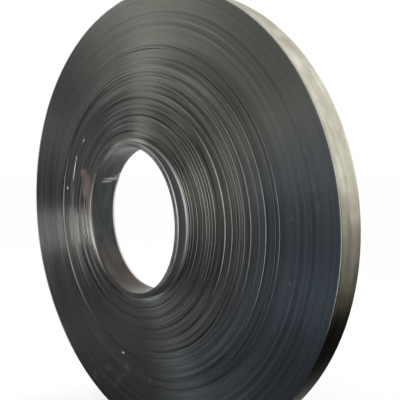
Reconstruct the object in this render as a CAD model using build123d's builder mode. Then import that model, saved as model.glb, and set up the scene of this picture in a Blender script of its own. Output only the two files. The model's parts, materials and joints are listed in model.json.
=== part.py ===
from build123d import *
import math
import os

# A narrow coil of slit steel strip, wound flat on itself, standing on its rim.
# The eye is level and runs along Y, and the end that is seen faces -Y. Millimetres, +Z up.
# The origin is on the floor, under the middle of the coil's overall depth.

# Overall sizes
outer_diameter = 1576
bore_diameter = 508
strip_width = 98

# The outermost turns are level. Each group of them sits a little in or out of line with the next.
level_turns_depth = 190
level_group_shares = (0.21, 0.13, 0.25, 0.18, 0.23)
level_group_offsets = (0, 0.8, 0.2, 1.0, 0.4)

# Further in the turns have slid out of the rim's plane, so the end is a low stepped cone.
cone_reach = 46
cone_curve = 0.6
cone_steps = 26

# The innermost turns lean: past the lip of the eye they stand proud on the +X side and sunk on the -X side.
inner_turns_depth = 18.5
inner_proud_least = -9
inner_proud_most = 34

outer_radius = outer_diameter / 2
bore_radius = bore_diameter / 2
cone_radius = outer_radius - level_turns_depth
lip_radius = bore_radius + inner_turns_depth
inner_reach_most = cone_reach + inner_proud_most
overall_depth = inner_reach_most + strip_width
rim_front = inner_reach_most - overall_depth / 2
axis_height = outer_radius


def level_groups():
    """Outer radius, inner radius and stand-out of each group of level turns, from the rim inwards."""
    outside = outer_radius
    for share, offset in zip(level_group_shares, level_group_offsets):
        inside = outside - share * level_turns_depth
        yield outside, inside, offset
        outside = inside


def cone_groups():
    """The same for the turns of the cone, from the level turns in to the lip of the eye."""
    cone_depth = cone_radius - lip_radius
    for step in range(cone_steps):
        outside = cone_radius - cone_depth * step / cone_steps
        inside = cone_radius - cone_depth * (step + 1) / cone_steps
        share = (cone_radius - inside) / cone_depth
        yield outside, inside, cone_reach * share**cone_curve


# Half section of the wound strip: radius along X, the coil's axis along Y
front_edge = []
for outside, inside, reach in [*level_groups(), *cone_groups()]:
    front_edge.append((outside, rim_front - reach))
    front_edge.append((inside, rim_front - reach))
back_edge = [(radius, along + strip_width) for radius, along in reversed(front_edge)]

# The plane across the front of the innermost turns, leaning about the vertical
lean = math.atan((inner_proud_most - inner_proud_least) / (2 * lip_radius))
middle_reach = cone_reach + (inner_proud_most + inner_proud_least) / 2
leaning_front = Plane(
    origin=(0, rim_front - middle_reach, axis_height),
    x_dir=(math.cos(lean), -math.sin(lean), 0),
    z_dir=(-math.sin(lean), -math.cos(lean), 0),
)
leaning_back = leaning_front.offset(-strip_width)

with BuildPart() as inner_turns:
    with BuildSketch(Plane.XZ.offset(overall_depth)):
        with Locations((0, axis_height)):
            Circle(lip_radius)
            Circle(bore_radius, mode=Mode.SUBTRACT)
    extrude(amount=-2 * overall_depth)
    split(bisect_by=leaning_front, keep=Keep.BOTTOM)
    split(bisect_by=leaning_back, keep=Keep.TOP)

with BuildPart() as steel_coil:
    with BuildSketch(Plane.XY.offset(axis_height)):
        with BuildLine():
            Polyline(*front_edge, *back_edge, close=True)
        make_face()
    revolve(axis=Axis((0, 0, axis_height), (0, 1, 0)))
    add(inner_turns.part)

steel_coil.part.label = "steel_coil"
os.makedirs("parts", exist_ok=True)
export_step(steel_coil.part, "parts/steel_coil.step")
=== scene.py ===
import json
import math
import random

import bpy
import numpy as np
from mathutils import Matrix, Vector


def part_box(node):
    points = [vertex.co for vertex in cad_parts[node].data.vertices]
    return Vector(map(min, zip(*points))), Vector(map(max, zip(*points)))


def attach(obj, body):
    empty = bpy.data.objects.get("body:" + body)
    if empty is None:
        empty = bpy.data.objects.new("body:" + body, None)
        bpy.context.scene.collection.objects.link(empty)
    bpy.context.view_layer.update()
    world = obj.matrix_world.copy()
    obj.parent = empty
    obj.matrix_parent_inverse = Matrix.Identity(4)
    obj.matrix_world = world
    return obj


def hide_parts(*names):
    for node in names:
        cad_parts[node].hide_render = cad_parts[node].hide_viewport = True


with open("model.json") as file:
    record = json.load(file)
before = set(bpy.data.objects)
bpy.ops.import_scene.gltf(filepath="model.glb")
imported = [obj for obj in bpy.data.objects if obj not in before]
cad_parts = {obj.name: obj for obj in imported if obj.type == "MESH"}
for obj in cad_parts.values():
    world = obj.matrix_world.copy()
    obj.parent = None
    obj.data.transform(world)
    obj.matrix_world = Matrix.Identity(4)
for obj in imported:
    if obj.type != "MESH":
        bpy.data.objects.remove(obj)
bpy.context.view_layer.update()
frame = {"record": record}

bl_info = {
    "name": "Slit Steel Coil",
    "version": (1, 0, 0),
    "blender": (4, 5, 0),
    "location": "View3D > Sidebar > Coil",
    "description": "Winds a narrow coil of slit steel strip, turn by turn, on a pale studio floor",
    "category": "Add Mesh",
}

# What the frame fixes: the box of the coil and the radius of its eye
COIL_LOW, COIL_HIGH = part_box("steel_coil")
EYE_MOUNT = next(mount for mount in frame["record"]["mounts"] if mount["name"] == "bore")
RIM_RADIUS = (COIL_HIGH[0] - COIL_LOW[0]) / 2
EYE_RADIUS = EYE_MOUNT["dims"]["r_mm"] / 1000
AXIS_HEIGHT = (COIL_HIGH[2] + COIL_LOW[2]) / 2
STRIP_WIDTH = 0.098
RIM_BACK = COIL_HIGH[1]
RIM_FRONT = RIM_BACK - STRIP_WIDTH

# The end of the coil outside this radius is level, and inside it the turns have slid out as a cone
CONE_RADIUS = RIM_RADIUS - 0.190
LIP_RADIUS = EYE_RADIUS + 0.0185
CONE_REACH = 0.046
CONE_CURVE = 0.45

# The innermost turns lean: this far past the lip on the two sides of the eye. The lean sets in over
# this many turns.
LEAN_PROUD_RIGHT = 0.034
LEAN_PROUD_LEFT = -0.009
LEAN_TURNS = 0.3

# Ledges between groups of turns: radius as a share of the rim's, then two heights in metres. The first
# is the same all round, and the second is added towards LEDGE_TILT and taken off on the other side.
# Each ledge crosses from one turn to the next near LEDGE_CROSSING, over LEDGE_LENGTH of a turn.
LEDGE_TILT = math.radians(20)
LEDGE_CROSSING = math.radians(245)
CROSSING_SPREAD = 0.12
LEDGE_LENGTH = 0.35
LEDGES = (
    (0.966, 0.0004, 0.0),
    (0.894, 0.0005, 0.0003),
    (0.834, -0.0006, 0.0),
    (0.774, 0.0007, 0.0),
    (0.758, 0.0014, 0.0006),
    (0.746, 0.0012, 0.0003),
    (0.710, 0.0030, 0.0012),
    (0.682, 0.0010, 0.0006),
    (0.646, -0.0018, 0.0062),
    (0.622, 0.0014, 0.0),
    (0.610, 0.0014, 0.0006),
    (0.600, 0.0000, 0.0020),
    (0.590, 0.0016, 0.0002),
    (0.566, 0.0030, 0.0005),
    (0.534, 0.0012, 0.0040),
    (0.512, 0.0012, -0.0016),
    (0.486, 0.0018, 0.0014),
    (0.475, 0.0008, 0.0006),
    (0.463, 0.0008, 0.0008),
    (0.446, -0.0002, 0.0034),
    (0.430, 0.0018, -0.0003),
    (0.418, 0.0008, 0.0006),
    (0.406, 0.0012, 0.0008),
    (0.395, -0.0003, 0.0026),
    (0.386, 0.0012, 0.0002),
    (0.374, 0.0012, 0.0004),
    (0.364, 0.0010, 0.0006),
)

# Loose turns: where a gap opens between two turns. First and last angle in degrees, anticlockwise
# from +X as seen from the front; radius as a share of the rim's; widest opening in metres
LOOSE_TURNS = (
    (68, 106, 0.742, 0.0025),
    (34, 76, 0.711, 0.0021),
    (90, 125, 0.659, 0.0024),
    (50, 94, 0.631, 0.0018),
    (54, 82, 0.591, 0.0021),
    (58, 124, 0.538, 0.0020),
    (298, 348, 0.734, 0.0021),
    (266, 294, 0.720, 0.0014),
    (286, 324, 0.711, 0.0013),
    (298, 340, 0.648, 0.0018),
    (312, 348, 0.625, 0.0014),
    (296, 330, 0.588, 0.0025),
    (278, 295, 0.589, 0.0013),
    (279, 295, 0.529, 0.0014),
    (298, 318, 0.531, 0.0013),
    (195, 262, 0.618, 0.0015),
)
# A gap tapers off by this power. A turn it pushes outwards is followed by the next ones, less and less.
GAP_TAPER = 1.5
PUSHED_TURNS = 14
# A gap narrower than the first is none, and one as wide as the second shows its full depth
LEAST_GAP = 0.00001
DEEP_GAP = 0.0012
# For the painted shade between turns, the foot of an open gap counts as this many times deeper, and that of a
# ledge this high as half as deep
OPEN_DEPTH = 20
LEDGE_SHADE = 0.0025

# The outermost turn has sprung off the next by this much, rising by this power from where it starts
OUTER_SLIT = 0.0009
OUTER_SLIT_POWER = 0.2
# The slit and the groove between level turns are smaller by these shares
LEVEL_SLIT_LESS = 0.7
LEVEL_GROOVE_LESS = 0.75

# How edges stray along the axis: turns between knots, and the seed of the random run. The level turns stray
# by this share of what those of the cone do, and the leaning ones by a depth of their own.
STRAY = ((0.61, 11), (2.7, 13))
LEVEL_STRAY = 0.3
LEAN_STRAY = (0.8, 12)
LEAN_STRAY_DEPTH = 0.0003
# How slit edges tilt: most tilt as a share of half the gauge, then the same two
CORNER_TILTS = ((0.22, 2.3, 21), (0.16, 0.9, 22))
# How the rim's face bulges: turns between knots and seed, and how many turns of the run go by in one
BULGE_RUN = (1.7, 31)
BULGE_TURNS = 40

# A piece is first spun from a chain with even spacing, so that each point's place in the chain can be read
CHAIN_START = 0.1
CHAIN_STEP = 0.001
WRAP_RADIUS = 0.3
MERGE_WITHIN = 0.000004


def length(name, description, value):
    """A length that the panel shows."""
    return bpy.props.FloatProperty(name=name, description=description, default=value, unit="LENGTH")


def direction(name, description, degrees):
    """A place round the coil that the panel shows."""
    return bpy.props.FloatProperty(
        name=name, description=description, default=math.radians(degrees), subtype="ANGLE"
    )


class CoilSizes(bpy.types.PropertyGroup):
    """Sizes of the wound strip that can be changed without leaving the frame."""

    whole_turns: bpy.props.IntProperty(
        name="Whole turns", description="Full turns of strip between the eye and the rim", default=213, min=20
    )
    steps: bpy.props.IntProperty(
        name="Steps round", description="Straight steps in one turn", default=144, min=36
    )
    inner_tail: direction("Inner end", "Where the strip starts in the eye", 147.5)
    outer_tail: direction("Outer end", "Where the strip ends, under the coil", 277.5)
    slit: length("Slit", "Gap between two turns of the cone", 0.00028)
    groove: length("Groove", "Depth that shows between two turns", 0.0011)
    gap_depth: length("Gap depth", "Depth that shows where a turn is loose", 0.026)
    rounding: bpy.props.FloatProperty(
        name="Rounding", description="Share of a step that the rolled corner of a turn takes up", default=0.35
    )
    wander: length("Wander", "How far a turn strays sideways on the cone", 0.0009)


def colour(name, description, value):
    """A colour that the panel shows."""
    return bpy.props.FloatVectorProperty(
        name=name, description=description, subtype="COLOR", size=3, min=0, max=1, default=value
    )


class CoilColours(bpy.types.PropertyGroup):
    """Colours of the steel, as they are seen under plain light, and of the light and shade painted on it."""

    edge_dim: colour("Slit edge", "Slit edge of the strip", (0.025, 0.026, 0.025))
    edge_painted_light: colour("Slit edge, painted light", "Slit edge, greyer towards the upper side with painted light", (0.068, 0.070, 0.061))
    edge_blue: colour("Blue-grey edge", "Blue-grey tint of the outer turns on the lower right", (0.027, 0.034, 0.041))
    ledge_dim: colour("Ledge", "Flat face of the strip on a ledge", (0.045, 0.046, 0.044))
    painted_highlight: colour("Painted highlight", "Painted highlight on ledges, the lip and the left of the rim", (0.76, 0.73, 0.70))
    strip_light: colour("Pale patches", "Paler patches of the outermost turn's face", (0.80, 0.78, 0.67))
    strip_pale: colour("Strip face", "Flat face of the outermost turn", (0.60, 0.57, 0.46))
    strip_half_shaded: colour("Face in half shade", "Flat face of the outermost turn, where its painted shade is light", (0.25, 0.235, 0.19))
    strip_shaded: colour("Shaded face", "Flat face of the outermost turn, low down, in painted shade", (0.046, 0.045, 0.040))
    inner_side: colour("Inner turns", "Outer side of the leaning innermost turns", (0.085, 0.092, 0.098))
    eye_steel: colour("Eye", "Oiled flat face of the innermost turn", (0.052, 0.056, 0.058))
    eye_edge_highlight: colour("Eye, back edge", "Painted highlight on the back edge of the innermost turn", (0.62, 0.60, 0.57))
    eye_glint: colour("Eye highlights", "Painted highlights at the strip's inner end", (0.30, 0.30, 0.29))
    eye_brown: colour("Eye, low down", "Rust bloom low in the eye", (0.085, 0.067, 0.055))
    rust: colour("Rust", "Light rust beside the eye", (0.100, 0.068, 0.050))
    smear: colour("Smear", "Thin brown smear near the floor", (0.10, 0.080, 0.060))
    dust: colour("Dust", "Dust and fine scratches", (0.22, 0.22, 0.21))
    burr: colour("Burr", "Bright nicks in the slit edge", (0.62, 0.60, 0.50))
    edge_highlight: colour("Outermost edge", "Painted highlight on the slit edge of the outermost turns", (0.36, 0.36, 0.34))


def sizes():
    return bpy.context.scene.coil_sizes


def colours():
    return bpy.context.scene.coil_colours


# The strip's path


def tail_share():
    """How much of a turn lies between the inner and the outer end of the strip, in whole steps."""
    turn = (sizes().outer_tail - sizes().inner_tail) / math.tau % 1
    return round(turn * sizes().steps) / sizes().steps


def gauge():
    """Thickness of the strip, from the rim, the eye and the number of turns."""
    return (RIM_RADIUS - EYE_RADIUS) / (sizes().whole_turns + 1 + tail_share())


def smooth_rise(value):
    """0 below 0, 1 above 1, and a smooth rise between."""
    value = np.clip(value, 0, 1)
    return value * value * (3 - 2 * value)


def knotted(turn, every, seed):
    """A smooth random run along the strip, from -1 to 1, with a knot each so many turns."""
    chance = random.Random(seed)
    count = int((sizes().whole_turns + 4) / every) + 3
    values = [chance.uniform(-1, 1) for _ in range(count)]
    place = np.clip(turn / every, 0, count - 2)
    low = np.floor(place).astype(int)
    rise = smooth_rise(place - low)
    values = np.array(values)
    return values[low] * (1 - rise) + values[low + 1] * rise


def radius_of(turn):
    return EYE_RADIUS + gauge() * turn


def turn_at(radius):
    return (radius - EYE_RADIUS) / gauge()


def cone_share(turn):
    """0 on the level turns, rising to 1 at the lip of the eye."""
    return np.clip((CONE_RADIUS - radius_of(turn)) / (CONE_RADIUS - LIP_RADIUS), 0, 1)


def ledge_turn(place):
    """The turn at which a ledge crosses to the next one, at the lower left, where it shows least."""
    scattered = CROSSING_SPREAD * math.sin(900 * place)
    crossing = (LEDGE_CROSSING - sizes().inner_tail) / math.tau % 1 + scattered
    return round(turn_at(place * RIM_RADIUS) - crossing) + crossing


def stand_out(turn, angle):
    """How far the edge of the strip stands out in front of the rim, at this many turns from the eye."""
    toward = np.cos(angle - LEDGE_TILT)
    inner = [ledge for ledge in LEDGES if ledge[0] * RIM_RADIUS < CONE_RADIUS]
    even_rest = CONE_REACH - sum(even for _, even, _ in inner)
    tilt_rest = -sum(tilt for _, _, tilt in inner)
    share = cone_share(turn)
    reach = even_rest * share**CONE_CURVE + tilt_rest * share * toward
    for place, even, tilt in LEDGES:
        ledge = ledge_turn(place)
        reach = reach + (even + tilt * toward) * smooth_rise((ledge - turn) / LEDGE_LENGTH + 0.5)
    return reach


def leaning(turn):
    """1 for the innermost turns, which lean, and 0 outside the lip."""
    lip_turn = math.floor(turn_at(LIP_RADIUS))
    return smooth_rise((lip_turn + LEAN_TURNS - turn) / LEAN_TURNS)


def front_of(turn, angle):
    """Where the front edge of the strip lies along Y, at this turn and this angle round the axis."""
    stray = sizes().wander * (LEVEL_STRAY + (1 - LEVEL_STRAY) * cone_share(turn))
    along = RIM_FRONT - stand_out(turn, angle) + stray * sum(knotted(turn, *run) for run in STRAY)
    lean = (LEAN_PROUD_RIGHT - LEAN_PROUD_LEFT) / (2 * LIP_RADIUS)
    middle = CONE_REACH + (LEAN_PROUD_RIGHT + LEAN_PROUD_LEFT) / 2
    slanted = RIM_FRONT - middle - radius_of(turn) * np.cos(angle) * lean
    slanted = slanted + LEAN_STRAY_DEPTH * knotted(turn, *LEAN_STRAY)
    part = leaning(turn)
    return along * (1 - part) + slanted * part


def loose_turns(turn, angle):
    """For each gap: how many turns outside it a place is, and how far it is open at this angle."""
    degrees = np.degrees(angle) % 360
    for first, last, share, widest in LOOSE_TURNS:
        middle_turn = (math.radians((first + last) / 2) - sizes().inner_tail) / math.tau % 1
        boundary = round(turn_at(share * RIM_RADIUS) - middle_turn) + 1
        outside = turn - (degrees - math.degrees(sizes().inner_tail)) / 360 % 1 - boundary
        along = np.clip((degrees - first) / (last - first), 0, 1)
        yield outside, widest * np.sin(np.pi * along) ** GAP_TAPER


def opening(turn, angle):
    """How far a gap lies open at this place between two turns, from the list of loose turns."""
    wide = np.zeros_like(turn)
    for outside, open_by in loose_turns(turn, angle):
        wide = np.where(np.abs(outside) < 0.5, np.maximum(wide, open_by), wide)
    return wide


def pushed_out(turn, angle):
    """How far loose turns push the turns outside them off the spiral. It fades out over the next turns."""
    push = np.zeros_like(turn)
    for outside, open_by in loose_turns(turn, angle):
        fade = np.where(outside > -0.5, np.clip(1 - (outside + 0.5) / PUSHED_TURNS, 0, 1), 0)
        push = push + open_by * fade
    return push


# Modelling helpers


def start_clean():
    if bpy.context.object and bpy.context.object.mode != "OBJECT":
        bpy.ops.object.mode_set(mode="OBJECT")
    bpy.ops.object.select_all(action="DESELECT")


def chain(name, points):
    """A new object whose mesh is an open chain of edges through the points, in edit mode."""
    start_clean()
    bpy.ops.mesh.primitive_plane_add(size=0.001)
    piece = bpy.context.object
    piece.name = name
    piece.data.name = name
    bpy.ops.object.mode_set(mode="EDIT")
    bpy.ops.mesh.select_all(action="SELECT")
    bpy.ops.mesh.merge(type="CENTER")
    bpy.ops.transform.translate(value=points[0])
    for before, after in zip(points, points[1:]):
        step = [b - a for a, b in zip(before, after)]
        bpy.ops.mesh.extrude_vertices_move(TRANSFORM_OT_translate={"value": step})
    return piece


# Spinning stops this far short of a full circle, so that the first and last columns can be told apart
SPIN_SHORT = 0.01


def turn_round(piece, start):
    """Spin the chain about the coil's axis, anticlockwise as seen from the front.

    Returns each point's place, its radius and its share of the full turn."""
    bpy.ops.mesh.select_all(action="SELECT")
    bpy.ops.mesh.spin(
        steps=sizes().steps,
        angle=math.tau - SPIN_SHORT,
        center=(0, 0, AXIS_HEIGHT),
        axis=(0, -1, 0),
        use_auto_merge=False,
    )
    bpy.ops.object.mode_set(mode="OBJECT")
    places = np.empty(len(piece.data.vertices) * 3, np.float32)
    piece.data.vertices.foreach_get("co", places)
    places = places.reshape(-1, 3).astype(float)
    across, up = places[:, 0], places[:, 2] - AXIS_HEIGHT
    swept = (np.arctan2(up, across) - start + SPIN_SHORT / 2) % math.tau - SPIN_SHORT / 2
    step = np.round(swept / (math.tau - SPIN_SHORT) * sizes().steps)
    return places, np.hypot(across, up), step / sizes().steps


def put_back(piece, radius, along, angle):
    """Write the vertices' places from their radius, their place along the axis and their angle."""
    places = np.stack([radius * np.cos(angle), along, AXIS_HEIGHT + radius * np.sin(angle)], 1)
    piece.data.vertices.foreach_set("co", places.astype(np.float32).ravel())
    piece.data.update()


def choose(piece, picked):
    """Select these vertices and nothing else, and go to edit mode."""
    bpy.ops.object.mode_set(mode="EDIT")
    bpy.ops.mesh.select_mode(type="VERT")
    bpy.ops.mesh.select_all(action="DESELECT")
    bpy.ops.object.mode_set(mode="OBJECT")
    piece.data.vertices.foreach_set("select", np.asarray(picked, dtype=bool))
    bpy.ops.object.mode_set(mode="EDIT")


def close_seam():
    """Merge the columns that meet."""
    bpy.ops.object.mode_set(mode="EDIT")
    bpy.ops.mesh.select_all(action="SELECT")
    bpy.ops.mesh.remove_doubles(threshold=MERGE_WITHIN)
    bpy.ops.object.mode_set(mode="OBJECT")


def faces_of(piece):
    """The normals and the centres of a piece's faces."""
    count = len(piece.data.polygons)
    normals = np.empty(count * 3, np.float32)
    centres = np.empty(count * 3, np.float32)
    piece.data.polygons.foreach_get("normal", normals)
    piece.data.polygons.foreach_get("center", centres)
    return normals.reshape(-1, 3), centres.reshape(-1, 3)


def point_values(piece, name, values):
    """Store a value for each point of the mesh, where materials can read it."""
    stored = piece.data.attributes.new(name, "FLOAT", "POINT")
    stored.data.foreach_set("value", values.astype(np.float32))


def face_outwards(piece, away):
    """Turn the whole piece's faces over if they look against the directions that away gives for them."""
    normals, centres = faces_of(piece)
    if np.sum(normals * away(centres)) < 0:
        bpy.ops.object.mode_set(mode="EDIT")
        bpy.ops.mesh.select_all(action="SELECT")
        bpy.ops.mesh.flip_normals()
        bpy.ops.object.mode_set(mode="OBJECT")


def outward(centres):
    """Away from the coil's axis."""
    away = np.stack([centres[:, 0], np.zeros(len(centres)), centres[:, 2] - AXIS_HEIGHT], 1)
    return away / np.linalg.norm(away, axis=1, keepdims=True)


def finish_piece(piece, materials):
    """Shading, materials and its place in the frame."""
    for material in materials:
        piece.data.materials.append(material)
    bpy.ops.object.shade_smooth_by_angle(angle=math.radians(28))
    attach(piece, "root")
    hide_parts("steel_coil")
    return piece


# The ends of the coil


def wind_end(name, to_back):
    """One end of the coil: for each turn the two corners of its slit edge, and the groove outside it."""
    turns = sizes().whole_turns + 1
    start = sizes().inner_tail
    profile = []
    for corner in range(turns * 3 - 1):
        radius = CHAIN_START + CHAIN_STEP * corner
        profile.append((radius * math.cos(start), 0, AXIS_HEIGHT + radius * math.sin(start)))
    piece = chain(name, profile)
    _, radius, part = turn_round(piece, start)
    corner = np.round((radius - CHAIN_START) / CHAIN_STEP).astype(int)
    angle = start + part * math.tau
    turn = corner // 3 + part
    kind = corner % 3

    # Radii of the inner corner, the outer corner and the foot of the groove
    level = 1 - np.sqrt(cone_share(turn))
    slit = sizes().slit * (1 - LEVEL_SLIT_LESS * level) * np.clip(turn, 0, 1)
    groove = sizes().groove * (1 - LEVEL_GROOVE_LESS * level)
    pushed = pushed_out(turn, angle)
    inner = radius_of(turn) + slit / 2 + pushed
    outer = radius_of(turn + 1) - slit / 2 + pushed
    outermost = np.clip(turn - sizes().whole_turns - tail_share() + 1, 0, 1)
    inner = inner + OUTER_SLIT * outermost**OUTER_SLIT_POWER
    gap = opening(turn + 1, angle)
    between = radius_of(turn + 1) + pushed + gap / 2
    new_radius = np.choose(kind, [inner, outer, between])

    # Places along the axis, counted in the way that this end of the coil faces
    tilt = sum(size * knotted(turn, every, seed) for size, every, seed in CORNER_TILTS)
    way = 1.0 if to_back else -1.0
    here = way * front_of(turn, angle)
    beyond = way * front_of(turn + 1, angle)
    within = way * front_of(np.maximum(turn - 1, 0), angle)
    sink = groove + sizes().gap_depth * np.clip(gap / DEEP_GAP, 0, 1)
    rounding = sizes().rounding
    inner_corner = here - np.minimum(rounding * np.maximum(here - within, 0), gauge()) * (turn > 1)
    outer_corner = here - np.minimum(rounding * np.maximum(here - beyond, 0), gauge()) + tilt * gauge() / 2
    low = np.minimum(here, beyond) - sink
    along = way * np.choose(kind, [inner_corner, outer_corner, low]) + to_back * STRIP_WIDTH
    put_back(piece, new_radius, along, angle)

    # Depth of each point, which sets the painted shade between the turns, and the height of the step beside
    # it
    step_in, step_out = np.abs(here - within), np.abs(here - beyond)
    unlit = np.where(gap > LEAST_GAP, OPEN_DEPTH * sink, sink * LEDGE_SHADE / (LEDGE_SHADE + step_out))
    hollow = [np.minimum(here, within) - inner_corner, np.minimum(here, beyond) - outer_corner, unlit]
    point_values(piece, "hollow", np.choose(kind, hollow))
    point_values(piece, "step", np.choose(kind, [step_in, step_out, step_out]))

    last = sizes().whole_turns + tail_share() + 0.5 / sizes().steps
    gone = np.where(kind == 2, turn + 1, turn) > last
    choose(piece, gone)
    bpy.ops.mesh.delete(type="VERT")
    close_seam()
    face_outwards(piece, lambda centres: np.tile((0.0, way, 0.0), (len(centres), 1)))
    finish_piece(piece, [slit_edge_material(), ledge_material(), inner_side_material()])
    mark_sides(piece)
    return piece


def mark_sides(piece):
    """Give the faces that look away from the axis, or towards it, the flat face's materials."""
    normals, centres = faces_of(piece)
    sideways = np.abs(normals[:, 1]) < 0.5
    looks_out = np.sum(normals * outward(centres), axis=1) > 0
    innermost = np.hypot(centres[:, 0], centres[:, 2] - AXIS_HEIGHT) < LIP_RADIUS + gauge()
    innermost = innermost & looks_out
    piece.data.polygons.foreach_set("material_index", (sideways * (1 + innermost)).astype(np.int32))
    piece.data.update()


# The two bare faces of the strip: the rim and the wall of the eye


def wrap_face(name, first_turn, start, rows, bulge):
    """The strip's flat face over one turn, from first_turn on, closed by the strip's cut end."""
    profile = []
    for row in range(rows + 1):
        across, up = WRAP_RADIUS * math.cos(start), WRAP_RADIUS * math.sin(start)
        profile.append((across, CHAIN_STEP * row, AXIS_HEIGHT + up))
    piece = chain(name, profile)
    places, _, part = turn_round(piece, start)
    share = np.round(places[:, 1] / CHAIN_STEP) / rows
    angle = start + part * math.tau
    turn = first_turn + part
    strip_turn = np.maximum(turn - 1, 0) if first_turn > 1 else turn
    # The face bulges in waves between its edges, and its ends stay true
    waves = knotted(part * BULGE_TURNS, *BULGE_RUN) * np.sin(np.pi * part) ** 0.5
    radius = radius_of(turn) + bulge * np.sin(np.pi * share) * waves
    put_back(piece, radius, front_of(strip_turn, angle) + STRIP_WIDTH * share, angle)
    point_values(piece, "across", share)

    # The last column is extruded to the first, which is the cut end of the strip
    choose(piece, part > 1 - 0.5 / sizes().steps)
    drop = (-gauge() * math.cos(start), 0, -gauge() * math.sin(start))
    bpy.ops.mesh.extrude_region_move(TRANSFORM_OT_translate={"value": drop})
    close_seam()
    return piece


# Materials


def new_material(name):
    material = bpy.data.materials.new(name)
    material.use_nodes = True
    tree = material.node_tree
    return material, tree, tree.nodes["Principled BSDF"]


def join(tree, source, target):
    tree.links.new(source, target)


def feed(tree, value, target):
    """Give a socket its value, which is another socket, a number or a colour."""
    if isinstance(value, bpy.types.NodeSocket):
        join(tree, value, target)
    elif isinstance(value, (int, float)):
        target.default_value = value
    else:
        target.default_value = (*value, 1)


def maths(tree, operation, *values):
    """A Math node. Each value is a socket or a number."""
    node = tree.nodes.new("ShaderNodeMath")
    node.operation = operation
    for socket, value in zip(node.inputs, values):
        feed(tree, value, socket)
    return node.outputs[0]


def times(tree, first, second):
    return maths(tree, "MULTIPLY", first, second)


def vectors(tree, operation, *sources):
    """A Vector Math node."""
    node = tree.nodes.new("ShaderNodeVectorMath")
    node.operation = operation
    for socket, source in zip(node.inputs, sources):
        join(tree, source, socket)
    return node


def blend_colours(tree, factor, first, second, way="MIX"):
    """A colour Mix node. Each input is a socket or a value."""
    node = tree.nodes.new("ShaderNodeMix")
    node.data_type = "RGBA"
    node.blend_type = way
    for number, value in ((0, factor), (6, first), (7, second)):
        feed(tree, value, node.inputs[number])
    return node.outputs[2]


def paint(tree, base, mask, tint, share=1.0):
    """Lay a colour over the base where the mask is, and let only this share of it cover."""
    return blend_colours(tree, times(tree, mask, share), base, tint)


def toned(tree, base, tone):
    """The base colour times a tone."""
    node = tree.nodes.new("ShaderNodeCombineColor")
    for socket in node.inputs[:3]:
        join(tree, tone, socket)
    return blend_colours(tree, 1.0, base, node.outputs[0], "MULTIPLY")


def rescale(tree, value, low, high, new_low, new_high):
    """A smooth Map Range node, which holds its end values beyond the range."""
    node = tree.nodes.new("ShaderNodeMapRange")
    node.interpolation_type = "SMOOTHSTEP"
    for name, given in (
        ("Value", value),
        ("From Min", low),
        ("From Max", high),
        ("To Min", new_low),
        ("To Max", new_high),
    ):
        feed(tree, given, node.inputs[name])
    return node.outputs["Result"]


def noise(tree, vector, scale, detail=2.0, roughness=0.5):
    node = tree.nodes.new("ShaderNodeTexNoise")
    for name, value in (("Vector", vector), ("Scale", scale), ("Detail", detail), ("Roughness", roughness)):
        feed(tree, value, node.inputs[name])
    return node.outputs["Fac"]


def object_place(tree):
    return tree.nodes.new("ShaderNodeTexCoord").outputs["Object"]


def own_value(tree, name):
    """A value that the piece's mesh holds for each of its points."""
    node = tree.nodes.new("ShaderNodeAttribute")
    node.attribute_name = name
    return node.outputs["Fac"]


def new_group(name, inputs, outputs):
    """A node group with its input and output nodes. Each socket's name comes with what it holds."""
    group = bpy.data.node_groups.new(name, "ShaderNodeTree")
    for way, sockets in (("INPUT", inputs), ("OUTPUT", outputs)):
        for socket, holds in sockets.items():
            group.interface.new_socket(socket, in_out=way, socket_type="NodeSocket" + holds)
    return group, group.nodes.new("NodeGroupInput"), group.nodes.new("NodeGroupOutput")


def place_group(tree, group, place):
    """A node for a group that works from a place on the coil."""
    node = tree.nodes.new("ShaderNodeGroup")
    node.node_tree = group
    join(tree, place, node.inputs["Place"])
    return node


def measure_round(tree, place):
    """A place's radius, its direction across and up from the axis, and how far along the axis it is."""
    parts = tree.nodes.new("ShaderNodeSeparateXYZ")
    join(tree, place, parts.inputs[0])
    across, along, height = parts.outputs
    up = maths(tree, "SUBTRACT", height, AXIS_HEIGHT)
    radius = maths(tree, "SQRT", maths(tree, "MULTIPLY_ADD", up, up, times(tree, across, across)))
    radius = maths(tree, "MAXIMUM", radius, 0.001)
    return {
        "Radius": radius,
        "Across": maths(tree, "DIVIDE", across, radius),
        "Up": maths(tree, "DIVIDE", up, radius),
        "Along": along,
    }


def round_the_axis():
    """Node group: what measure_round finds for a place in object space."""
    name = "Round the axis"
    if name in bpy.data.node_groups:
        return bpy.data.node_groups[name]
    found = dict.fromkeys(("Radius", "Across", "Up", "Along"), "Float")
    group, inside, outside = new_group(name, {"Place": "Vector"}, found)
    for output, value in measure_round(group, inside.outputs["Place"]).items():
        join(group, value, outside.inputs[output])
    return group


def axis_parts(tree):
    return place_group(tree, round_the_axis(), object_place(tree)).outputs


def ring_vector(tree, polar, fineness, drift, fast="Radius"):
    """A vector for noise that changes fast from turn to turn or along the axis, and slowly round it."""
    node = tree.nodes.new("ShaderNodeCombineXYZ")
    for socket, output, scale in zip(node.inputs, (fast, "Across", "Up"), (fineness, drift, drift)):
        join(tree, times(tree, polar[output], scale), socket)
    return node.outputs[0]


def facing(tree, polar, degrees):
    """Cosine of the angle between a place's direction from the axis and this direction."""
    across = times(tree, polar["Across"], math.cos(math.radians(degrees)))
    return maths(tree, "MULTIPLY_ADD", polar["Up"], math.sin(math.radians(degrees)), across)


def lobe(tree, polar, degrees, begins, full):
    """1 in this direction from the axis, 0 away from it. Begins and full are cosines of the angle off it."""
    return rescale(tree, facing(tree, polar, degrees), begins, full, 0, 1)


def patch(tree, polar, degrees, begins, full, inner, outer, at_inner, at_outer):
    """A lobe whose strength changes between two radii."""
    strength = rescale(tree, polar["Radius"], inner, outer, at_inner, at_outer)
    return times(tree, lobe(tree, polar, degrees, begins, full), strength)


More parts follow.
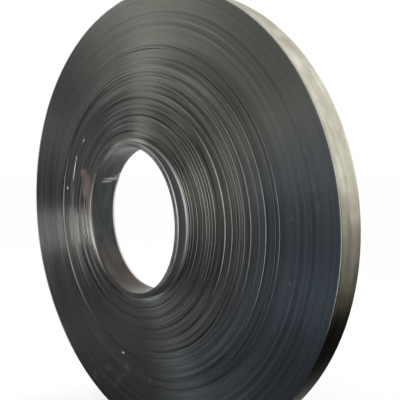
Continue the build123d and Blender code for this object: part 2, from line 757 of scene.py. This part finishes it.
def mark_group():
    """Node group: a small oblong mark at a place on the coil's front end, 1 in the middle and 0 outside."""
    name = "Mark"
    if name in bpy.data.node_groups:
        return bpy.data.node_groups[name]
    taken = {"Place": "Vector", "Centre": "Location", "Turn": "Rotation", "Size": "Scale"}
    group, inside, outside = new_group(name, dict.fromkeys(taken, "Vector"), {"Mask": "Float"})
    ragged = noise(group, inside.outputs["Place"], 60)
    local = group.nodes.new("ShaderNodeMapping")
    local.vector_type = "TEXTURE"
    for source, target in taken.items():
        join(group, inside.outputs[source], local.inputs[target])
    ball = group.nodes.new("ShaderNodeTexGradient")
    ball.gradient_type = "SPHERICAL"
    join(group, local.outputs["Vector"], ball.inputs["Vector"])
    near = ball.outputs["Fac"]
    solid = rescale(group, maths(group, "MULTIPLY_ADD", ragged, 0.5, near), 0.32, 0.55, 0, 1)
    join(group, times(group, solid, rescale(group, near, 0, 0.15, 0, 1)), outside.inputs["Mask"])
    return group


# A mark reaches through the whole cone unless it says otherwise: how far its middle lies behind the rim's
# front edge, and half its length along the axis
MARK_BEHIND = -CONE_REACH / 2
MARK_HALF_DEPTH = 1.3 * CONE_REACH


def mark(
    tree, degrees, share, half_length, half_width, slant, behind=MARK_BEHIND, half_depth=MARK_HALF_DEPTH
):
    """Mask of one mark: where it is, how large, and how far it is turned from the run of the strip."""
    angle = math.radians(degrees)
    radius = share * RIM_RADIUS
    node = place_group(tree, mark_group(), object_place(tree))
    centre = (radius * math.cos(angle), RIM_FRONT + behind, AXIS_HEIGHT + radius * math.sin(angle))
    node.inputs["Centre"].default_value = centre
    node.inputs["Turn"].default_value = (0, -(angle + math.pi / 2 + math.radians(slant)), 0)
    node.inputs["Size"].default_value = (half_length, half_depth, half_width)
    return node.outputs["Mask"]


def any_mark(tree, marks):
    """One mask for several marks."""
    whole = mark(tree, *marks[0])
    for each in marks[1:]:
        whole = maths(tree, "MAXIMUM", whole, mark(tree, *each))
    return whole


# Marks on the front end: angle in degrees, radius as a share of the rim's, half length, half width, slant
BURRS = (
    (169, 0.605, 0.009, 0.0045, 30),
    (139, 0.550, 0.010, 0.0022, 8),
    (156, 0.550, 0.064, 0.0026, 8),
    (259, 0.665, 0.009, 0.0028, 0),
)
SCRATCHES = (
    (274, 0.750, 0.022, 0.0020, 78),
    (336, 0.810, 0.014, 0.0018, 70),
    (349, 0.820, 0.010, 0.0018, 75),
    (5, 0.815, 0.009, 0.0022, 60),
)
DUST = (
    (8, 0.915, 0.020, 0.012, 20),
    (12, 0.905, 0.018, 0.016, 60),
    (16, 0.930, 0.028, 0.012, 0),
    (20, 0.900, 0.022, 0.010, 30),
)
RUST = (
    (160, 0.395, 0.060, 0.050, 0),
    (154, 0.440, 0.026, 0.034, 0),
    (171, 0.352, 0.070, 0.020, 0),
)
# Painted highlights in the eye, where the strip's inner end lies. The last two numbers are how far each lies
# behind the rim's front edge, and half its length across the strip.
EYE_GLINTS = (
    (147.3, 0.322, 0.0050, 0.010, 0, 0.026, 0.052),
    (148.8, 0.322, 0.0024, 0.010, 0, 0.018, 0.040),
    (150.4, 0.322, 0.0036, 0.010, 0, 0.004, 0.030),
    (145.2, 0.322, 0.0026, 0.010, 0, 0.046, 0.026),
    (143.0, 0.322, 0.0060, 0.010, 0, 0.058, 0.020),
)
SMEAR = (
    (246, 0.930, 0.160, 0.035, 60),
    (256, 0.830, 0.140, 0.030, 55),
)
# Painted light and shade on the slit edges: how much brighter they are, patch by patch. Direction in degrees;
# cosines of the angle off it where the patch begins and where it is full; two radii in metres; the share to
# add at each of them
EDGE_PAINTED_LIGHT = (
    (253, 0.60, 0.97, 0.30, 0.74, -0.72, -0.72),
    (320, 0.85, 0.99, 0.30, 0.74, -0.42, -0.42),
    (137, 0.80, 0.98, 0.30, 0.74, -0.22, 0.52),
    (290, 0.962, 0.998, 0.34, 0.55, 0.05, 0.40),
    (32, 0.93, 0.995, 0.56, 0.66, -0.18, 0.0),
    (191, 0.95, 0.995, 0.38, 0.52, 0.45, 0.12),
    (264, 0.80, 0.99, 0.36, 0.58, -0.32, 0.0),
    (14, 0.92, 0.99, 0.32, 0.44, 0.40, 0.0),
)


# The left side of the coil's end, as a lobe, where the turns look least alike
LEFT_SIDE = (190, 0.75, 0.97)


def streaks():
    """Node group: tone that changes from turn to turn, about 1, with slow drift round the coil."""
    name = "Streaks"
    if name in bpy.data.node_groups:
        return bpy.data.node_groups[name]
    group, inside, outside = new_group(name, {"Place": "Vector", "Contrast": "Float"}, {"Tone": "Float"})
    polar = place_group(group, round_the_axis(), inside.outputs["Place"]).outputs
    fine = noise(group, ring_vector(group, polar, 200, 1.0), 1.0, 1.5, 0.6)
    broad = noise(group, ring_vector(group, polar, 75, 0.8), 1.0, 1.5, 0.5)
    swing = maths(group, "SUBTRACT", maths(group, "MULTIPLY_ADD", broad, 0.8, fine), 0.9)
    tone = maths(group, "MULTIPLY_ADD", swing, inside.outputs["Contrast"], 1.0)
    join(group, maths(group, "MAXIMUM", tone, 0.25), outside.inputs["Tone"])
    return group


def streak_tone(tree, contrast):
    node = place_group(tree, streaks(), object_place(tree))
    feed(tree, contrast, node.inputs["Contrast"])
    return node.outputs["Tone"]


def painted_gap_shade(tree):
    """Painted shade between the turns: 1 on the surface, and nearly 0 deep between two turns."""
    return rescale(tree, own_value(tree, "hollow"), 0.0, 0.0013, 1.0, 0.03)


def slit_edge_material():
    """Slit edges of the strip: dark, with a grain that runs round the coil."""
    name = "slit edge"
    if name in bpy.data.materials:
        return bpy.data.materials[name]
    material, tree, shader = new_material(name)
    polar = axis_parts(tree)
    radius = polar["Radius"]
    # Painted light: the slit edges are greyer and lighter on the upper side, towards 62 degrees
    lit = patch(tree, polar, 62, 0.10, 0.95, 0.38, 0.56, 0.45, 1.0)
    base = blend_colours(tree, lit, colours().edge_dim, colours().edge_painted_light)
    base = paint(tree, base, patch(tree, polar, -22, 0.45, 0.98, 0.42, 0.60, 0, 1), colours().edge_blue)

    # The tone changes from turn to turn, most of all near the eye and on the left, where it also has bands
    left_side = lobe(tree, polar, *LEFT_SIDE)
    contrast = maths(tree, "MULTIPLY_ADD", left_side, 1.6, 1.0)
    grain = streak_tone(tree, times(tree, rescale(tree, radius, 0.42, 0.66, 3.4, 0.55), contrast))
    bands = maths(tree, "SUBTRACT", noise(tree, ring_vector(tree, polar, 52, 0.8), 1.0, 1.0), 0.5)
    banded = times(tree, times(tree, bands, left_side), 4.0)
    grain = times(tree, grain, maths(tree, "MAXIMUM", maths(tree, "ADD", banded, 1.0), 0.2))
    tone = grain
    # Painted light and shade, patch by patch round the coil
    for values in EDGE_PAINTED_LIGHT:
        tone = times(tree, tone, maths(tree, "ADD", patch(tree, polar, *values), 1.0))

    # The first turns outside the lip have a painted highlight all round, strongest towards 14 degrees
    lip_highlight = rescale(tree, radius, LIP_RADIUS + 0.006, LIP_RADIUS + 0.016, 1, 0)
    lip_highlight = times(tree, lip_highlight, rescale(tree, radius, LIP_RADIUS - 0.004, LIP_RADIUS, 0, 1))
    glint = maths(tree, "POWER", maths(tree, "MAXIMUM", facing(tree, polar, 14), 0.0), 5.0)
    glint = times(tree, glint, lip_highlight)
    base = toned(tree, base, times(tree, tone, maths(tree, "MULTIPLY_ADD", lip_highlight, 2.0, 1.0)))
    base = paint(tree, base, glint, colours().painted_highlight, 0.8)

    # The outermost turns have a painted highlight, except low down, and a stronger one on the left
    outermost_highlight = rescale(tree, radius, RIM_RADIUS - 0.0055, RIM_RADIUS - 0.0035, 0, 1)
    outermost_highlight = times(tree, outermost_highlight, rescale(tree, polar["Up"], -0.35, 0.0, 0, 1))
    base = paint(tree, base, outermost_highlight, colours().edge_highlight)
    left_rim_highlight = patch(tree, polar, 190, 0.7, 0.95, RIM_RADIUS - 0.009, RIM_RADIUS - 0.005, 0, 0.45)
    base = paint(tree, base, left_rim_highlight, colours().painted_highlight)

    rust, burr = any_mark(tree, RUST), any_mark(tree, BURRS)
    scratchy = rescale(tree, noise(tree, object_place(tree), 90, 3.0), 0.48, 0.62, 0, 1)
    cloudy = rescale(tree, noise(tree, object_place(tree), 22, 3.0), 0.40, 0.65, 0, 1)
    base = paint(tree, base, rust, colours().rust, 0.75)
    base = paint(tree, base, times(tree, any_mark(tree, SMEAR), cloudy), colours().smear, 0.22)
    base = paint(tree, base, times(tree, any_mark(tree, DUST), scratchy), colours().dust, 0.10)
    base = paint(tree, base, any_mark(tree, SCRATCHES), colours().dust, 0.28)
    base = paint(tree, base, burr, colours().burr)
    # Painted shade deep between the turns
    join(tree, toned(tree, base, painted_gap_shade(tree)), shader.inputs["Base Color"])

    matt = maths(tree, "MAXIMUM", rust, burr)
    matt = maths(tree, "MAXIMUM", matt, maths(tree, "MAXIMUM", glint, left_rim_highlight))
    join(tree, maths(tree, "MULTIPLY_ADD", matt, -0.8, 1.0), shader.inputs["Metallic"])
    rough = rescale(tree, radius, 0.28, 0.45, 0.31, 0.37)
    uneven = times(tree, maths(tree, "SUBTRACT", maths(tree, "MINIMUM", grain, 2.0), 1.0), 0.10)
    rough = maths(tree, "ADD", rough, uneven)
    rough = maths(tree, "ADD", rough, patch(tree, polar, *LEFT_SIDE, 0.40, 0.55, 0.0, 0.06))
    join(tree, maths(tree, "MULTIPLY_ADD", matt, 0.25, rough), shader.inputs["Roughness"])
    shader.inputs["Anisotropic"].default_value = 1.0
    join(tree, grain_direction(tree), shader.inputs["Tangent"])
    return material


def coil_axis(tree):
    """The direction of the coil's axis."""
    node = tree.nodes.new("ShaderNodeCombineXYZ")
    node.inputs["Y"].default_value = 1.0
    return node.outputs[0]


def away_from_axis(tree, polar):
    node = tree.nodes.new("ShaderNodeCombineXYZ")
    join(tree, polar["Across"], node.inputs[0])
    join(tree, polar["Up"], node.inputs[2])
    return node.outputs[0]


def grain_direction(tree):
    """Straight out from the axis, turned a little one way or the other from turn to turn, more on the left.

    No node group is behind it, because it goes to a Tangent."""
    polar = measure_round(tree, object_place(tree))
    away = away_from_axis(tree, polar)
    around = vectors(tree, "CROSS_PRODUCT", coil_axis(tree), away).outputs[0]
    swing = maths(tree, "SUBTRACT", noise(tree, ring_vector(tree, polar, 64, 0.6), 1.0, 1.0), 0.5)
    unrest = maths(tree, "MULTIPLY_ADD", lobe(tree, polar, *LEFT_SIDE), 0.75, 0.15)
    return vectors(tree, "MULTIPLY_ADD", around, times(tree, swing, unrest), away).outputs[0]


def look_toward(tree, degrees):
    """How far a flat face of the strip looks this way, as seen from the front: 1 at most, and 0 if away."""
    polar = axis_parts(tree)
    normal = tree.nodes.new("ShaderNodeNewGeometry").outputs["Normal"]
    away = vectors(tree, "DOT_PRODUCT", normal, away_from_axis(tree, polar)).outputs["Value"]
    return maths(tree, "MAXIMUM", times(tree, facing(tree, polar, degrees), maths(tree, "SIGN", away)), 0.0)


def ledge_material():
    """The flat face of the strip where a turn stands out from the next: brighter than its slit edge, with a
    painted highlight where a high step faces towards 14 degrees.
    """
    name = "ledge"
    if name in bpy.data.materials:
        return bpy.data.materials[name]
    material, tree, shader = new_material(name)
    high = rescale(tree, own_value(tree, "step"), 0.0006, 0.0022, 0.04, 1.0)
    # Painted highlight on the high steps that face towards 14 degrees
    bright = times(tree, maths(tree, "POWER", look_toward(tree, 14), 3.5), high)
    base = blend_colours(tree, bright, colours().ledge_dim, colours().painted_highlight)
    # Painted shade deep between the turns
    lit = painted_gap_shade(tree)
    base = toned(tree, toned(tree, base, streak_tone(tree, 1.2)), lit)
    join(tree, base, shader.inputs["Base Color"])
    join(tree, maths(tree, "MULTIPLY_ADD", lit, -0.8, 1.0), shader.inputs["Metallic"])
    shader.inputs["Anisotropic"].default_value = 0.9
    shader.inputs["Roughness"].default_value = 0.38
    join(tree, coil_axis(tree), shader.inputs["Tangent"])
    return material


def inner_side_material():
    """The outer side of the leaning innermost turns: smooth, blue-grey and dull."""
    name = "inner turns"
    if name in bpy.data.materials:
        return bpy.data.materials[name]
    material, tree, shader = new_material(name)
    # Painted shade deep between the turns
    tone = times(tree, streak_tone(tree, 0.6), painted_gap_shade(tree))
    join(tree, toned(tree, colours().inner_side, tone), shader.inputs["Base Color"])
    shader.inputs["Metallic"].default_value = 0.35
    shader.inputs["Roughness"].default_value = 0.42
    return material


def strip_face_material():
    """The flat face of the outermost turn: a pale satin sheet above, with painted shade that darkens it
    below.
    """
    name = "strip face"
    if name in bpy.data.materials:
        return bpy.data.materials[name]
    material, tree, shader = new_material(name)
    polar = axis_parts(tree)
    up = polar["Up"]
    lengthwise = noise(tree, ring_vector(tree, polar, 26.0, 3.0, "Along"), 1.0, 3.0, 0.6)
    blotch = noise(tree, object_place(tree), 9.0, 4.0, 0.62)
    patchy = rescale(tree, blotch, 0.40, 0.66, 0, 1)
    pale = blend_colours(tree, patchy, colours().strip_pale, colours().strip_light)
    wander = maths(tree, "MULTIPLY_ADD", lengthwise, 0.20, -0.10)
    wander = maths(tree, "ADD", wander, maths(tree, "MULTIPLY_ADD", blotch, 0.16, -0.08))
    # Painted shade: the face darkens towards the bottom, along a wavering line
    level = maths(tree, "ADD", up, wander)
    half_shade = rescale(tree, level, -0.30, 0.06, 0, 1)
    painted_shade = blend_colours(tree, half_shade, colours().strip_shaded, colours().strip_half_shaded)
    unshaded = rescale(tree, level, 0.0, 0.30, 0, 1)
    tone = rescale(tree, lengthwise, 0.3, 0.7, 0.86, 1.1)
    for value, *limits in (
        (own_value(tree, "across"), 0.0, 0.09, 0.72, 1.0),
        (up, 0.62, 0.80, 1.0, 0.94),
        (polar["Across"], -0.75, -0.05, 0.5, 1.0),
    ):
        tone = times(tree, tone, rescale(tree, value, *limits))
    base = toned(tree, blend_colours(tree, unshaded, painted_shade, pale), tone)
    join(tree, base, shader.inputs["Base Color"])
    join(tree, maths(tree, "MULTIPLY_ADD", unshaded, -0.4, 1.0), shader.inputs["Metallic"])
    satin = times(tree, rescale(tree, blotch, 0.3, 0.7, 0.14, 0.28), unshaded)
    join(tree, maths(tree, "ADD", satin, 0.28), shader.inputs["Roughness"])
    shader.inputs["Specular Tint"].default_value = (0.3, 0.3, 0.3, 1)
    return material


def eye_wall_material():
    """The flat face of the strip inside the eye: oiled and dark, browner low down."""
    name = "eye wall"
    if name in bpy.data.materials:
        return bpy.data.materials[name]
    material, tree, shader = new_material(name)
    polar = axis_parts(tree)
    lengthwise = noise(tree, ring_vector(tree, polar, 40.0, 3.0, "Along"), 1.0, 3.0, 0.6)
    blotch = noise(tree, object_place(tree), 14.0, 4.0, 0.6)
    low = rescale(tree, maths(tree, "MULTIPLY_ADD", blotch, 0.3, polar["Up"]), -0.05, -0.75, 0, 0.75)
    base = blend_colours(tree, low, colours().eye_steel, colours().eye_brown)
    base = toned(tree, base, rescale(tree, lengthwise, 0.3, 0.7, 0.8, 1.2))
    rust, eye_glint = any_mark(tree, RUST), any_mark(tree, EYE_GLINTS)
    base = paint(tree, base, rust, colours().rust, 0.7)
    # Painted highlights at the strip's inner end
    base = paint(tree, base, eye_glint, colours().eye_glint, 0.8)
    # The back edge of the eye is a little brighter all round, with a painted highlight towards 205 degrees
    edge = rescale(tree, own_value(tree, "across"), 0.91, 0.94, 0, 1)
    edge = times(tree, edge, rescale(tree, facing(tree, polar, 205), 0.45, 0.8, 0.1, 1))
    join(tree, paint(tree, base, edge, colours().eye_edge_highlight), shader.inputs["Base Color"])
    matt = maths(tree, "MAXIMUM", maths(tree, "MAXIMUM", rust, eye_glint), edge)
    join(tree, maths(tree, "MULTIPLY_ADD", matt, -0.7, 1.0), shader.inputs["Metallic"])
    join(tree, rescale(tree, blotch, 0.3, 0.7, 0.28, 0.42), shader.inputs["Roughness"])
    return material


# Stage


def pale_material(name, tint, share):
    """A pale surface that the camera and mirror-like rays see nearly white, and that keeps its shadow."""
    material, tree, shader = new_material(name)
    shader.inputs["Base Color"].default_value = (*tint, 1)
    shader.inputs["Roughness"].default_value = 0.9
    glow = tree.nodes.new("ShaderNodeEmission")
    glow.inputs["Color"].default_value = (1, 1, 1, 1)
    glow.inputs["Strength"].default_value = 1.0
    path = tree.nodes.new("ShaderNodeLightPath")
    seen = maths(tree, "MAXIMUM", path.outputs["Is Camera Ray"], path.outputs["Is Glossy Ray"])
    seen = maths(tree, "MAXIMUM", seen, path.outputs["Is Transmission Ray"])
    mixed = tree.nodes.new("ShaderNodeMixShader")
    join(tree, maths(tree, "MULTIPLY", seen, share), mixed.inputs[0])
    join(tree, shader.outputs[0], mixed.inputs[1])
    join(tree, glow.outputs[0], mixed.inputs[2])
    join(tree, mixed.outputs[0], tree.nodes["Material Output"].inputs["Surface"])
    return material


# The floor's colour, and how much of its own white the camera sees in place of it
FLOOR_TINT = (0.97, 0.97, 0.97)
FLOOR_GLOW = 0.6

# Soft boxes round the coil: bearing from straight in front towards +X and height of aim in degrees,
# distance from the middle of the coil, side of the square box, brightness of its face and its tint
LAMPS = {
    "left, high": (-50, 23, 3.2, 0.42, 12.5, (1.0, 1.0, 0.96)),
    "far left, level": (-60, 4, 3.2, 0.6, 4.0, (0.98, 1.0, 1.0)),
    "far left, low": (-56, -8, 3.2, 0.3, 17.0, (1.0, 0.98, 0.96)),
    "left, low": (-76, -9, 3.0, 0.4, 27.0, (1.0, 0.96, 0.94)),
    "left, near the floor": (-48, -20, 2.0, 0.2, 30.0, (0.88, 0.95, 1.0)),
    "front": (0, 16, 1.9, 0.7, 4.0, (1.0, 0.96, 0.94)),
    "front right": (36, 10, 2.6, 0.4, 9.0, (1.0, 0.93, 0.91)),
    "behind": (180, 20, 2.5, 0.5, 12.0, (1.0, 1.0, 0.98)),
}


def add_lamp(name, bearing, rise, distance, side, brightness, tint):
    bearing, rise = math.radians(bearing), math.radians(rise)
    away = Vector((
        math.sin(bearing) * math.cos(rise),
        -math.cos(bearing) * math.cos(rise),
        math.sin(rise),
    ))
    data = bpy.data.lights.new(name, "AREA")
    data.shape = "SQUARE"
    data.size = side
    data.energy = brightness * math.pi * side**2
    data.color = tint
    lamp = bpy.data.objects.new(name, data)
    lamp.visible_camera = False
    bpy.context.collection.objects.link(lamp)
    lamp.location = Vector((0, 0, AXIS_HEIGHT)) + away * distance
    lamp.rotation_euler = away.to_track_quat("Z", "Y").to_euler()


# Camera, as solved from the outlines of the rim and the eye: place, and the way it looks
CAMERA_FROM_AXIS = (1.420, -1.139, 0.228)
CAMERA_YAW = math.radians(-44.81)
CAMERA_PITCH = math.radians(-5.05)
CAMERA_LENS = 45.9


def add_camera():
    data = bpy.data.cameras.new("camera")
    data.lens = CAMERA_LENS
    data.sensor_width = 36
    camera = bpy.data.objects.new("camera", data)
    bpy.context.collection.objects.link(camera)
    camera.location = Vector((0, RIM_FRONT, AXIS_HEIGHT)) + Vector(CAMERA_FROM_AXIS)
    ahead = Vector((
        math.sin(CAMERA_YAW) * math.cos(CAMERA_PITCH),
        math.cos(CAMERA_YAW) * math.cos(CAMERA_PITCH),
        math.sin(CAMERA_PITCH),
    ))
    camera.rotation_euler = ahead.to_track_quat("-Z", "Y").to_euler()
    bpy.context.scene.camera = camera


# Operators


class COIL_OT_front_end(bpy.types.Operator):
    """Wind the front end: the slit edges of all the turns, standing out as a cone"""

    bl_idname = "coil.front_end"
    bl_label = "Front End"

    def execute(self, context):
        wind_end("front_turns", False)
        return {"FINISHED"}


class COIL_OT_back_end(bpy.types.Operator):
    """Wind the back end: the slit edges of all the turns, sunk towards the eye"""

    bl_idname = "coil.back_end"
    bl_label = "Back End"

    def execute(self, context):
        wind_end("back_turns", True)
        return {"FINISHED"}


class COIL_OT_rim(bpy.types.Operator):
    """Lay the outermost turn's flat face round the rim, down to the strip's outer end"""

    bl_idname = "coil.rim"
    bl_label = "Rim"

    def execute(self, context):
        first = sizes().whole_turns + tail_share()
        start = sizes().inner_tail + tail_share() * math.tau
        piece = wrap_face("outer_turn", first, start, rows=8, bulge=0.0003)
        face_outwards(piece, outward)
        finish_piece(piece, [strip_face_material()])
        return {"FINISHED"}


class COIL_OT_eye(bpy.types.Operator):
    """Line the eye with the innermost turn's flat face, from the strip's inner end"""

    bl_idname = "coil.eye"
    bl_label = "Eye"

    def execute(self, context):
        piece = wrap_face("eye_wall", 0, sizes().inner_tail, rows=6, bulge=0.0)
        face_outwards(piece, lambda centres: -outward(centres))
        finish_piece(piece, [eye_wall_material()])
        return {"FINISHED"}


class COIL_OT_stage(bpy.types.Operator):
    """Set out the floor, the lamps, the world and the camera"""

    bl_idname = "coil.stage"
    bl_label = "Stage"

    def execute(self, context):
        start_clean()
        bpy.ops.mesh.primitive_plane_add(size=40, location=(0, 0, 0))
        floor = context.object
        floor.name = "floor"
        floor.data.materials.append(pale_material("pale floor", FLOOR_TINT, FLOOR_GLOW))
        add_world(context.scene)
        for name, values in LAMPS.items():
            add_lamp(name, *values)
        add_camera()
        context.scene.view_settings.view_transform = "Standard"
        return {"FINISHED"}


def add_world(scene):
    world = bpy.data.worlds.new("studio")
    scene.world = world
    world.use_nodes = True
    tree = world.node_tree
    background = tree.nodes["Background"]
    background.inputs["Strength"].default_value = 1.0
    background.inputs["Color"].default_value = (1, 1, 1, 1)


class COIL_PT_coil(bpy.types.Panel):
    """Buttons for the pieces of the coil, in the order that they are made"""

    bl_label = "Slit Steel Coil"
    bl_idname = "COIL_PT_coil"
    bl_space_type = "VIEW_3D"
    bl_region_type = "UI"
    bl_category = "Coil"

    def draw(self, context):
        for operator in STEPS:
            self.layout.operator(operator)
        for group in (context.scene.coil_sizes, context.scene.coil_colours):
            box = self.layout.box()
            for name in group.__annotations__:
                box.prop(group, name)


STEPS = ("coil.front_end", "coil.back_end", "coil.rim", "coil.eye", "coil.stage")
CLASSES = (
    CoilSizes,
    CoilColours,
    COIL_OT_front_end,
    COIL_OT_back_end,
    COIL_OT_rim,
    COIL_OT_eye,
    COIL_OT_stage,
    COIL_PT_coil,
)


def register():
    for each in CLASSES:
        bpy.utils.register_class(each)
    bpy.types.Scene.coil_sizes = bpy.props.PointerProperty(type=CoilSizes)
    bpy.types.Scene.coil_colours = bpy.props.PointerProperty(type=CoilColours)


def unregister():
    del bpy.types.Scene.coil_colours
    del bpy.types.Scene.coil_sizes
    for each in reversed(CLASSES):
        bpy.utils.unregister_class(each)


def main():
    register()
    bpy.ops.coil.front_end()
    bpy.ops.coil.back_end()
    bpy.ops.coil.rim()
    bpy.ops.coil.eye()
    bpy.ops.coil.stage()


if __name__ == "__main__":
    main()
